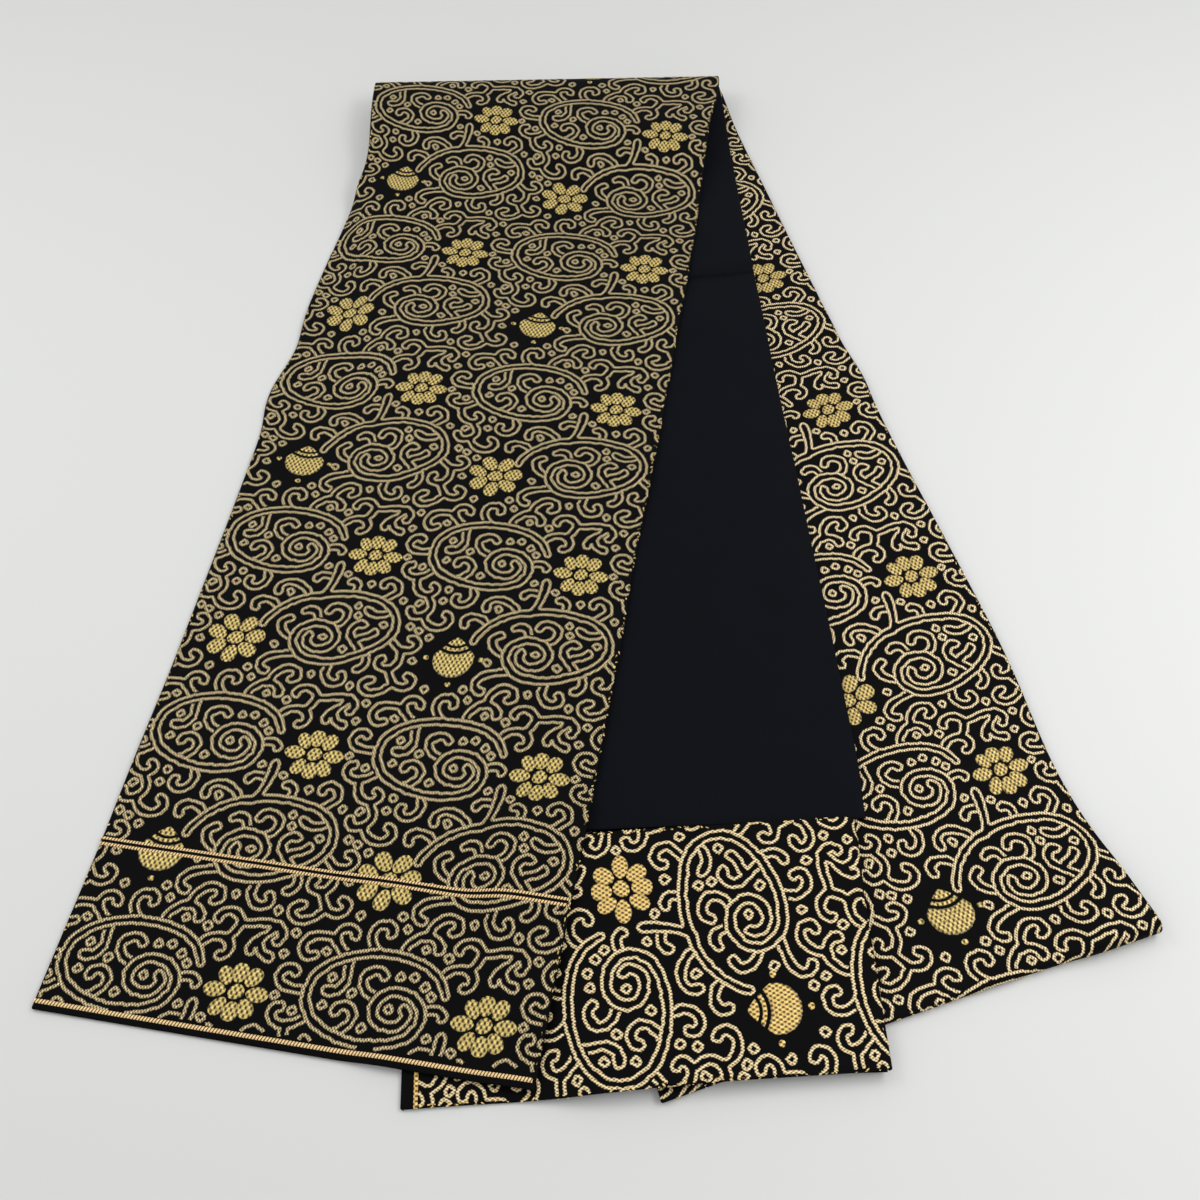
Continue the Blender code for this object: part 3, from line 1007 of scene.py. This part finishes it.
def new_material(name, roughness):
    """A new material's nodes, and its shader."""
    made = bpy.data.materials.new(name)
    made.use_nodes = True
    shader = made.node_tree.nodes["Principled BSDF"]
    shader.inputs["Roughness"].default_value = roughness
    return made.node_tree, shader


def finished(tree, shader, colour, bump):
    """Gives a shader its colour and its bump."""
    tree.links.new(colour, shader.inputs["Base Color"])
    tree.links.new(bump.outputs[0], shader.inputs["Normal"])


def wave_scale(spacing):
    """A wave texture's scale, for bands this many millimetres apart."""
    return 2 * math.pi / 20 / (spacing * MM)


def crease_shade_line(tree, strip, colour):
    """Darkens a colour along the hard crease across the inner stretch: painted shade in the crease."""
    slope = 0.0442
    begins = 237.4
    half_width = 3.2
    sway = 6.0
    add = {"operation": "MULTIPLY_ADD"}
    place = node(tree, "SeparateXYZ", i0=strip)
    along = node(tree, "Math", {**add, 1: slope}, i0=place.outputs[0], i2=place.outputs[1])
    wave = node(tree, "TexNoise", {"Scale": 18.0, "Detail": 2.0}, Vector=strip)
    moved = node(tree, "Math", {**add, 1: sway * MM}, i0=wave, i2=along)
    off = node(tree, "Math", {"operation": "SUBTRACT", 1: (begins + sway / 2) * MM}, i0=moved)
    away = node(tree, "Math", {"operation": "ABSOLUTE"}, i0=off)
    faded = {"interpolation_type": "SMOOTHSTEP", "From Max": half_width * MM, "To Min": 0.3}
    share = node(tree, "MapRange", faded, Value=away)
    return node(tree, "VectorMath", {"operation": "SCALE"}, i0=colour, Scale=share).outputs[0]


def twill_ground(name, dark, light, pitch, depth, crease_shaded=False):
    """A fine twill of black silk: diagonal ribs that catch a little light, with a bluish sheen.

    A wave texture makes the ribs, and a broad noise their uneven shade.
    """
    tree, shader = new_material(name, 0.7)
    strip = node(tree, "UVMap", {"uv_map": "strip"})
    banded = {"wave_type": "BANDS", "bands_direction": "DIAGONAL", "Scale": wave_scale(pitch)}
    ribs = node(tree, "TexWave", {**banded, "Distortion": 0.6, "Detail": 1.0}, Vector=strip)
    cloud = node(tree, "TexNoise", {"Scale": 30.0, "Detail": 3.0}, Vector=strip)
    add = {"operation": "MULTIPLY_ADD"}
    part = node(tree, "Math", {**add, 1: 0.7, 2: 0.0}, i0=ribs.outputs["Fac"])
    blend = node(tree, "Math", {**add, 1: 0.3}, i0=cloud.outputs["Fac"], i2=part)
    colour = node(tree, "Mix", {"data_type": "RGBA", 6: linear(dark), 7: linear(light)}, i0=blend).outputs[2]
    bump = node(tree, "Bump", {"Strength": 0.5, "Distance": depth * MM}, Height=ribs.outputs["Fac"])
    # the back's colour may carry a painted shade along the inner stretch's hard crease
    finished(tree, shader, crease_shade_line(tree, strip, colour) if crease_shaded else colour, bump)
    shader.inputs["Specular IOR Level"].default_value = 0.06


def gold_weft(name, bright, deep, tie, roughness, metal, float_length, two_rows):
    """Flat gilt thread, woven in short floats that are tied down at every other one in the row below.

    Two cosines multiplied make the floats and a fine noise their glitter. Towards the rim the colour is
    darkened to the tie's, a painted shade on the flanks of the raised gold. The rim of the gold is
    ragged, because the black ground shows between the ends of the floats.
    """
    tree, shader = new_material(name, roughness)
    times = {"operation": "MULTIPLY"}
    strip = node(tree, "UVMap", {"uv_map": "strip"})
    place = node(tree, "SeparateXYZ", i0=strip)
    turns = []
    for output, period in ((place.outputs[0], float_length), (place.outputs[1], two_rows)):
        angle = node(tree, "Math", {**times, 1: 2 * math.pi / (period * MM)}, i0=output)
        turns.append(node(tree, "Math", {"operation": "COSINE"}, i0=angle))
    lattice = node(tree, "Math", times, i0=turns[0], i1=turns[1])
    floats = node(tree, "MapRange", {"From Min": -0.65, "From Max": 0.35}, Value=lattice)
    speck = node(tree, "TexNoise", {"Scale": 700.0, "Detail": 1.0}, Vector=strip)
    uneven = node(tree, "MapRange", {"From Min": 0.3, "From Max": 0.7}, Value=speck)
    shade = node(tree, "Mix", {"data_type": "RGBA", 6: linear(deep), 7: linear(bright)}, i0=uneven)
    rim = node(tree, "Attribute", {"attribute_name": "rim"}).outputs["Fac"]
    # painted shade: the colour darkens to the tie's towards the rim of each line and patch, for the shade on
    # the flanks of the raised floats
    painted_rim_shade = node(tree, "MapRange", {"From Min": 0.2, "From Max": 0.75, "To Min": 0.25}, Value=rim)
    floats_and_rim_shade = node(tree, "Math", times, i0=floats, i1=painted_rim_shade)
    tied = node(tree, "Mix", {"data_type": "RGBA", 6: linear(tie)}, i0=floats_and_rim_shade, i7=shade.outputs[2])
    cut = node(tree, "Math", {"operation": "MULTIPLY_ADD", 1: -0.3, 2: 0.42}, i0=floats)
    shown = node(tree, "Math", {"operation": "GREATER_THAN"}, i0=rim, i1=cut)
    colour = node(tree, "Mix", {"data_type": "RGBA", 6: linear(BLACK_SILK)}, i0=shown, i7=tied.outputs[2])
    metallic = node(tree, "Math", {**times, 1: metal}, i0=shown)
    bump = node(tree, "Bump", {"Strength": 0.8, "Distance": 0.3 * MM}, Height=floats)
    finished(tree, shader, colour.outputs[2], bump)
    tree.links.new(metallic.outputs[0], shader.inputs["Metallic"])


def ladder_weft(name, bright):
    """Bright gilt thread woven as a row of slanted rungs, which a wave texture makes."""
    rung, lean = 1.9, 0.35
    tree, shader = new_material(name, 0.45)
    strip = node(tree, "UVMap", {"uv_map": "strip"})
    slanted = node(tree, "Mapping", {"Rotation": (0.0, 0.0, lean)}, Vector=strip)
    banded = {"wave_type": "BANDS", "bands_direction": "X", "Scale": wave_scale(rung)}
    rungs = node(tree, "TexWave", {**banded, "Distortion": 0.4}, Vector=slanted).outputs["Fac"]
    rim = node(tree, "Attribute", {"attribute_name": "rim"}).outputs["Fac"]
    shown = node(tree, "Math", {"operation": "GREATER_THAN", 1: 0.12}, i0=rim)
    steep = node(tree, "MapRange", {"From Min": 0.15, "From Max": 0.5}, Value=rungs)
    shade = node(tree, "Mix", {"data_type": "RGBA", 6: linear(LADDER_TIE), 7: linear(bright)}, i0=steep)
    colour = node(tree, "Mix", {"data_type": "RGBA", 6: linear(LADDER_SILK)}, i0=shown, i7=shade.outputs[2])
    bump = node(tree, "Bump", {"Strength": 0.6, "Distance": 0.3 * MM}, Height=rungs)
    finished(tree, shader, colour.outputs[2], bump)
    shader.inputs["Metallic"].default_value = 0.4


def make_weaves():
    """Every finish of the sash: the face's ground, the ribbed back, and the gilt threads."""
    twill_ground(GROUND, "020203", "060608", 0.9, 0.1)
    # the back carries a painted shade along the inner stretch's crease
    twill_ground(BACK, "040508", "0b0d15", 1.1, 0.15, crease_shaded=True)
    for weft in rows_of(WEFT_COLUMNS, WEFT_ROWS):
        gold_weft(**weft)
    ladder_weft("gilt_ladder_line", "f2cf94")


# ---------------------------------------------------------------- the folded sash


def gold_piece(name, arrays, finish):
    """One piece of gold weft, from its points, faces, strip places and rim."""
    return link(name, mesh_of(name, *arrays), finish)


def gold_pieces(name, sheet, origin, regions, finish, line_half, bands=()):
    """All the gold on one sheet: the scrolls' outlines, the flowers and jewels, and lines across it."""
    laid = [line for limits in regions for line in lines_on(LINES, np.array(origin), limits)]
    scrolls = ribbon_arrays(sheet, laid, line_half, SCROLL_RISE)
    made = [gold_piece(name + "_scroll", scrolls, finish + "_line")]
    patches = [rails for limits in regions for rails in motifs_on(origin, limits)]
    patches += edge_stitches(sheet.stretch, np.random.default_rng(STITCH_SEED))
    made.append(gold_piece(name + "_motifs", patch_arrays(sheet, patches, MOTIF_RISE), finish))
    for number, (band, half, rise, band_finish) in enumerate(bands):
        arrays = ribbon_arrays(sheet, [band], half, rise, FLAT_TOP)
        made.append(gold_piece(f"{name}_line_{number}", arrays, band_finish))
    return made


def lay_under(heap):
    """The hidden stretch at the bottom, face down, its two cloths in one."""
    under = Stretch("under")
    level = np.full(under.plan.shape[:2], REST)
    sheet = Sheet(under, level, **THIN_EDGES)
    cloth_piece("under_cloth", sheet, GROUND, "under_layers", DOUBLE - REST - AIR)
    heap.add(under.plan, np.full(level.shape, DOUBLE))


def lay_side(heap):
    """The side stretch, face up. Returns its gold, and how high its last row lies."""
    side = Stretch("side")
    height = heap.under(side.plan) + side.lie()
    corner = np.exp(-((side.along - 20) / 55) ** 2 - ((side.across - OBI_WIDTH) / 60) ** 2)
    height = height + CORNER_LOFT * corner + INNER_RISE * side.loft("inner_fold", INNER_LOOP)
    face = Sheet(side, height + DOUBLE, start=("turn", REST), **EDGES)
    cloth_piece("side_brocade", face, GROUND, "side_face")
    cloth_piece("side_twill", Sheet(side, height + AIR + CLOTH), BACK, "side_back")
    regions = [(130.0, 311.0, -12.0, 900.0), (-1.0, 128.0, -12.0, 40.0)]
    gold = gold_pieces("side", face, (118.0, 132.7), regions, "gilt_weft_side", LINE_HALF)
    heap.add(side.plan, height + DOUBLE)
    return gold, height[-1]


def lay_inner(heap, fold_level):
    """The inner stretch, back up, turned round from the side stretch at the far fold."""
    inner = Stretch("inner")
    height = heap.under(inner.plan) + inner.lie()
    back = Sheet(inner, height + DOUBLE, start=("turn", fold_level), end=("roll", 1.1), outward=-1.0, **EDGES)
    cloth_piece("inner_twill", back, BACK, "inner_back")
    face = Sheet(inner, height + AIR + CLOTH, outward=-1.0)
    cloth_piece("inner_brocade", face, GROUND, "inner_face")
    heap.add(inner.plan, height + DOUBLE)


def lay_hand_filling(heap):
    """The layers inside the folded hand end. Returns how high they begin."""
    filling = Stretch("hand_under")
    height = heap.under(filling.plan)
    sheet = Sheet(filling, height + HAND_DOUBLE, **FILLING_EDGES)
    cloth_piece("hand_end_inside", sheet, GROUND, "hand_end_layers", HAND_FILLING)
    heap.add(filling.plan, height + HAND_DOUBLE)
    return height[0].mean()


def lay_hand_end(heap, bottom):
    """The hand end, doubled lengthwise and turned across the inner stretch. Returns its gold."""
    hand = Stretch("hand")
    height = heap.under(hand.plan) + 0.6 * hand.lie()
    face = Sheet(hand, height + HAND_DOUBLE, start=("turn", bottom), end=("roll", 1.0), **HAND_EDGES)
    cloth_piece("hand_end_brocade", face, GROUND, "hand_end_face", HAND_CLOTH)
    band = (cross_band(hand, None, 7.5), 1.3, 0.5, "gilt_weft_hand")
    regions = [(154.6, 310.0, -8.0, 262.0)]
    gold = gold_pieces("hand_end", face, (116.5, 140.2), regions, "gilt_weft_hand", LINE_HALF, [band])
    heap.add(hand.plan, height + HAND_DOUBLE)
    return gold


TARE_BAND_COLUMNS = ("from_start", "half", "rise", "finish")
TARE_BAND_ROWS = (
    (4.1, 1.45, 0.5, "gilt_ladder_line"),
    (111.8, 3.0, 0.5, GROUND),
    (109.9, 1.1, 0.62, "gilt_ladder_line"),
    (113.7, 1.1, 0.62, "gilt_ladder_line"),
)


def lay_tare(heap):
    """The tare, face up on top, springing up to the far fold. Returns its gold."""
    tare = Stretch("tare")
    height = heap.under(tare.plan) + tare.lie()
    loft = tare.loft("top_fold", TOP_LOOP)
    height = np.maximum(height, height * (1 - loft) + TOP_RISE * loft)
    face = Sheet(tare, height + DOUBLE, start=("roll", 1.1), end=("turn", REST), **EDGES)
    cloth_piece("tare_brocade", face, GROUND, "tare_face")
    cloth_piece("tare_twill", Sheet(tare, height + AIR + CLOTH), BACK, "tare_back")
    bands = [(cross_band(tare, row["from_start"], None), row["half"], row["rise"], row["finish"])
             for row in rows_of(TARE_BAND_COLUMNS, TARE_BAND_ROWS)]
    regions = [(-1.0, 311.0, 6.6, 985.0)]
    return gold_pieces("tare", face, (118.0, 29.5), regions, "gilt_weft_tare", TARE_LINE_HALF, bands)


def make_sash():
    """Makes the finishes, and lays the stretches on one another from the bottom up."""
    make_weaves()
    heap = Heap()
    lay_under(heap)
    side_gold, fold_level = lay_side(heap)
    lay_inner(heap, fold_level)
    bottom = lay_hand_filling(heap)
    hand_gold = lay_hand_end(heap, bottom)
    tare_gold = lay_tare(heap)


# ---------------------------------------------------------------- floor, light and camera


def make_floor():
    """A plain pale table, wide enough to fill the view."""
    half = 3.0
    mesh = bpy.data.meshes.new("floor")
    corners = [(-half, -half, 0), (half, -half, 0), (half, half, 0), (-half, half, 0)]
    mesh.from_pydata(corners, [], [(0, 1, 2, 3)])
    finish = "pale_laminate"
    _, shader = new_material(finish, 0.6)
    shader.inputs["Base Color"].default_value = linear("cfd0cf")
    mesh.materials.append(bpy.data.materials[finish])
    floor = bpy.data.objects.new("floor", mesh)
    bpy.context.scene.collection.objects.link(floor)


def area_light(name, place, size, power):
    """A large soft lamp that hangs level over the table."""
    data = bpy.data.lights.new(name, "AREA")
    data.shape = "RECTANGLE"
    data.size, data.size_y = size
    data.energy = power
    lamp = bpy.data.objects.new(name, data)
    bpy.context.scene.collection.objects.link(lamp)
    lamp.location = place


def make_light():
    """A bright room, with a long lamp to the right of the table and a smaller one to the left."""
    world = bpy.data.worlds.new("room")
    bpy.context.scene.world = world
    world.use_nodes = True
    background = world.node_tree.nodes["Background"]
    background.inputs["Color"].default_value = linear("fcfcfb")
    background.inputs["Strength"].default_value = 0.83
    area_light("right_lamp", (0.78, -0.10, 1.0), (0.5, 1.05), 7.2)
    area_light("left_lamp", (-0.79, 0.15, 1.0), (0.6, 0.6), 3.8)
    bpy.context.scene.view_settings.view_transform = "Standard"


def make_camera():
    """Stands at the near side, looking down at about 55 degrees."""
    image_width, focal_length = 1200.0, 1500.0
    down, roll = 55.0836, 1.5
    data = bpy.data.cameras.new("camera")
    data.sensor_width = 36.0
    data.lens = data.sensor_width * focal_length / image_width
    camera = bpy.data.objects.new("camera", data)
    bpy.context.scene.collection.objects.link(camera)
    camera.location = (0.0052, -0.7241, 0.8824)
    camera.rotation_mode = "QUATERNION"
    tilt = Quaternion((1, 0, 0), math.radians(90.0 - down))
    camera.rotation_quaternion = tilt @ Quaternion((0, 0, 1), math.radians(-roll))
    bpy.context.scene.camera = camera


VINES, CURLS = scroll_field()
EVERYWHERE = np.full(VINES.shape, True)
LINES = scroll_lines(VINES, EVERYWHERE) + scroll_lines(CURLS, VINES > CURLS_CLEAR)
make_sash()
make_floor()
make_light()
make_camera()
